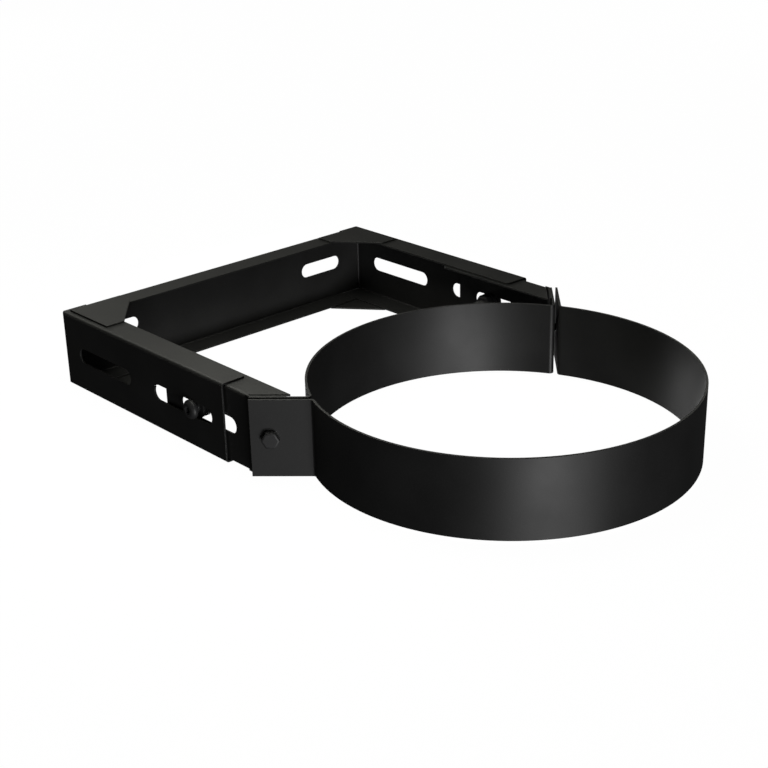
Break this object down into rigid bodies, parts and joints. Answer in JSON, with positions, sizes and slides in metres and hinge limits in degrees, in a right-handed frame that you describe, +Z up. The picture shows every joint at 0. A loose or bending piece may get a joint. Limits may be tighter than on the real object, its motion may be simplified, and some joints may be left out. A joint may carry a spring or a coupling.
{
  "type": "flue pipe wall bracket",
  "caption": "Wall bracket for a flue pipe: a flanged frame of folded sheet with slotted, adjustable arms that carry a round clamping band.",
  "frame": {"origin": "on the wall, at the middle of the frame's back, halfway between the two arms and at mid height", "axes": "+X along the wall, +Y from the pipe into the wall, +Z up along the pipe"},
  "size_m": [0.2326, 0.3387, 0.046],
  "materials": {
    "powder_coated_sheet": "satin black powder coat",
    "powder_coated_band": "satin black powder coat",
    "black_fastener": "black zinc plating, satin"
  },
  "bodies": {
    "frame": {"wall_frame": "powder_coated_sheet", "corner_plate_top_left": "powder_coated_sheet", "corner_plate_top_right": "powder_coated_sheet", "corner_plate_bottom_left": "powder_coated_sheet", "corner_plate_bottom_right": "powder_coated_sheet"},
    "extension": {"extension_arm_left": "powder_coated_sheet", "extension_arm_right": "powder_coated_sheet", "rear_band": "powder_coated_band", "front_band": "powder_coated_band", "clamp_bolt_left": "black_fastener", "clamp_bolt_right": "black_fastener", "clamp_washer_left": "black_fastener", "clamp_washer_right": "black_fastener", "clamp_nut_left": "black_fastener", "clamp_nut_right": "black_fastener"},
    "left_adjuster": {"adjusting_bolt_left": "black_fastener", "adjusting_washer_left": "black_fastener", "adjusting_nut_left": "black_fastener"},
    "right_adjuster": {"adjusting_bolt_right": "black_fastener", "adjusting_washer_right": "black_fastener", "adjusting_nut_right": "black_fastener"}
  },
  "joints": [
    {"name": "extension_slide", "type": "slide", "parent": "frame", "child": "extension", "axis": [0, -1, 0], "range_m": [-0.0195, 0.0225]},
    {"name": "left_adjuster_slide", "type": "slide", "parent": "frame", "child": "left_adjuster", "axis": [0, -1, 0], "range_m": [-0.0119, 0.0138]},
    {"name": "right_adjuster_slide", "type": "slide", "parent": "frame", "child": "right_adjuster", "axis": [0, -1, 0], "range_m": [-0.0119, 0.0138]}
  ],
  "couplings": [
    {"joint": "left_adjuster_slide", "follows": "extension_slide", "ratio": 0.61},
    {"joint": "right_adjuster_slide", "follows": "extension_slide", "ratio": 0.61}
  ]
}
